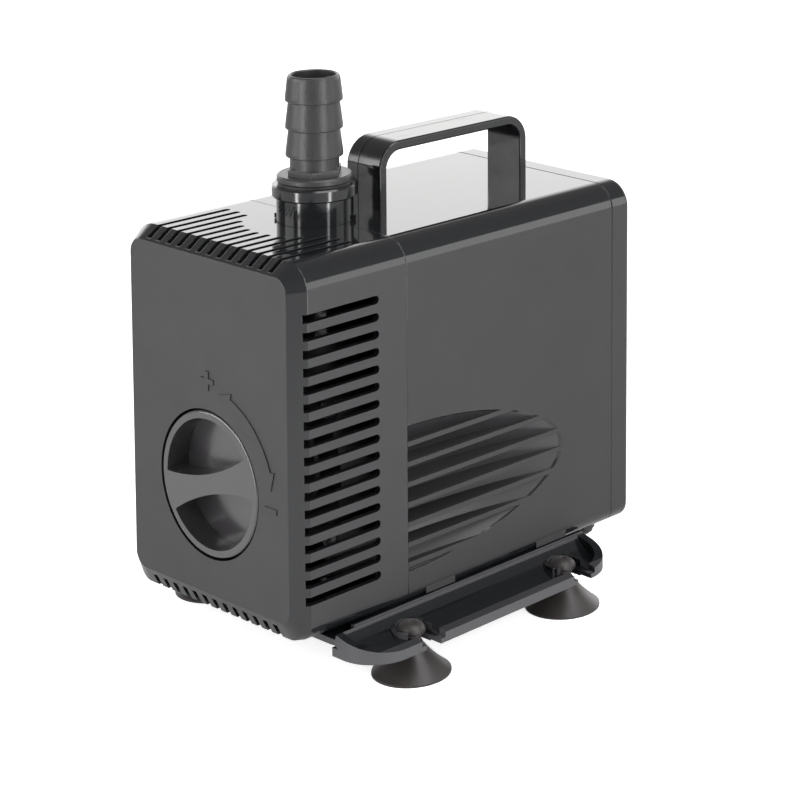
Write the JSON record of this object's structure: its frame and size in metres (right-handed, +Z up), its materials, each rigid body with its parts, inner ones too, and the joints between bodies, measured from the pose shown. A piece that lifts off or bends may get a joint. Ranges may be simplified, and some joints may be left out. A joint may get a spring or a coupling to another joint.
{
  "type": "fountain submersible pump",
  "caption": "Box-shaped submersible fountain pump with a slotted strainer front, flow knob, carry handle, barbed hose outlet and a foot plate on suction cups.",
  "frame": {"origin": "on the floor under the middle of the four suction cups, which is also under the middle of the body", "axes": "+Z up to the hose outlet, -Y towards the intake face with the flow knob, +X to the right seen from that face; the rotor turns about a line along Y at z = 86 mm"},
  "size_m": [0.178, 0.211, 0.264],
  "materials": {
    "body_plastic": "satin dark grey moulded plastic",
    "gloss_black": "polished black moulded plastic",
    "grained_black": "fine grained black plastic",
    "white_polymer": "white engineering plastic",
    "soft_rubber": "soft dark rubber",
    "steel_screw": "plain stainless steel",
    "core_steel": "varnished steel laminations",
    "copper_coil": "enamelled copper winding",
    "ceramic": "ground alumina",
    "ferrite": "sintered ferrite",
    "potting": "cast epoxy resin",
    "cable_skin": "cable sheath",
    "cup_rubber": "soft dark brownish black rubber"
  },
  "bodies": {
    "housing": {"motor_housing": "body_plastic", "rear_cover": "body_plastic", "rear_cover_screws": "steel_screw", "carry_handle": "gloss_black", "cable_gland": "soft_rubber", "power_cable": "cable_skin", "stator_core": "core_steel", "stator_coils": "copper_coil", "coil_bobbins": "white_polymer", "thermal_cutout": "steel_screw", "motor_potting": "potting", "rotor_well": "grained_black", "volute_casing": "grained_black", "volute_cover": "grained_black", "volute_seal": "soft_rubber", "volute_screws": "steel_screw", "outlet_riser": "gloss_black", "riser_oring": "soft_rubber", "rotor_shaft": "ceramic", "front_bushing": "soft_rubber", "rear_bushing": "soft_rubber"},
    "front_cover": {"strainer_cover": "body_plastic"},
    "flow_control": {"flow_knob": "gloss_black", "flow_shutter": "grained_black", "knob_clip": "steel_screw"},
    "rotor": {"rotor_magnet": "ferrite", "rotor_carrier": "white_polymer", "thrust_washers": "ceramic"},
    "impeller": {"impeller": "white_polymer"},
    "outlet_seal": {"outlet_gasket": "soft_rubber"},
    "hose_adapter": {"hose_adapter": "grained_black"},
    "base": {"base_plate": "gloss_black"},
    "cup_front_right": {"suction_cup_front_right": "cup_rubber"},
    "cup_front_left": {"suction_cup_front_left": "cup_rubber"},
    "cup_rear_right": {"suction_cup_rear_right": "cup_rubber"},
    "cup_rear_left": {"suction_cup_rear_left": "cup_rubber"}
  },
  "joints": [
    {"name": "strainer_slide", "type": "slide", "parent": "housing", "child": "front_cover", "axis": [0, -1, 0], "range_m": [0, 0.06]},
    {"name": "flow_knob_turn", "type": "hinge", "parent": "front_cover", "child": "flow_control", "pos_m": [0, -0.104, 0.086], "axis": [0, -1, 0], "range_deg": [0, 90]},
    {"name": "rotor_spin", "type": "hinge", "parent": "housing", "child": "rotor", "pos_m": [0, 0, 0.086], "axis": [0, 1, 0], "continuous": true},
    {"name": "impeller_dog", "type": "hinge", "parent": "rotor", "child": "impeller", "pos_m": [0, -0.04, 0.086], "axis": [0, 1, 0], "range_deg": [-150, 150]},
    {"name": "outlet_lift", "type": "slide", "parent": "housing", "child": "outlet_seal", "axis": [0, 0, 1], "range_m": [0, 0.0092]},
    {"name": "adapter_unscrew", "type": "hinge", "parent": "outlet_seal", "child": "hose_adapter", "pos_m": [0, -0.0416, 0.2139], "axis": [0, 0, 1], "range_deg": [0, 1800]},
    {"name": "base_slide", "type": "slide", "parent": "housing", "child": "base", "axis": [0, -1, 0], "range_m": [0, 0.018]},
    {"name": "cup_front_right_swivel", "type": "hinge", "parent": "base", "child": "cup_front_right", "pos_m": [0.071, -0.0483, 0.015], "axis": [0, 0, 1], "continuous": true},
    {"name": "cup_front_left_swivel", "type": "hinge", "parent": "base", "child": "cup_front_left", "pos_m": [-0.071, -0.0483, 0.015], "axis": [0, 0, 1], "continuous": true},
    {"name": "cup_rear_right_swivel", "type": "hinge", "parent": "base", "child": "cup_rear_right", "pos_m": [0.071, 0.0483, 0.015], "axis": [0, 0, 1], "continuous": true},
    {"name": "cup_rear_left_swivel", "type": "hinge", "parent": "base", "child": "cup_rear_left", "pos_m": [-0.071, 0.0483, 0.015], "axis": [0, 0, 1], "continuous": true}
  ],
  "couplings": [
    {"joint": "outlet_lift", "follows": "adapter_unscrew", "m_per_rad": 0.00028871}
  ]
}
